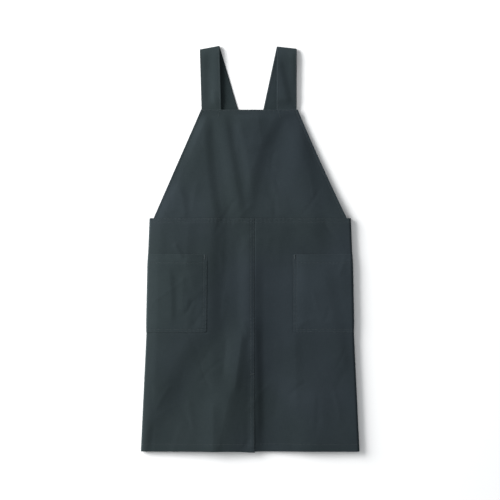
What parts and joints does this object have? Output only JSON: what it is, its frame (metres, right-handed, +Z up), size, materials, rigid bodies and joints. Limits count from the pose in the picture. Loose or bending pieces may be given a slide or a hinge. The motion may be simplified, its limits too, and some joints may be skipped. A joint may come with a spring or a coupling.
{
  "type": "work apron",
  "caption": "Full-length canvas work apron lying face up, with wrap-round skirt halves lapped at the front, side pockets and shoulder straps that fold over and cross at the back",
  "frame": {"origin": "middle of the underside of the box round the apron, on the surface that it lies on", "axes": "+X to the viewer's right in the picture, +Y from the hem up to the shoulder folds, +Z up out of the surface"},
  "size_m": [0.5394, 1.0002, 0.0206],
  "materials": {
    "canvas": "matt woven canvas, dark slate green",
    "strap_canvas": "matt woven canvas, dark slate green"
  },
  "bodies": {
    "root": {"bib": "canvas", "skirt_left": "canvas", "skirt_right": "canvas", "pocket_left": "canvas", "pocket_right": "canvas", "strap_left": "strap_canvas", "strap_right": "strap_canvas"}
  },
  "joints": []
}
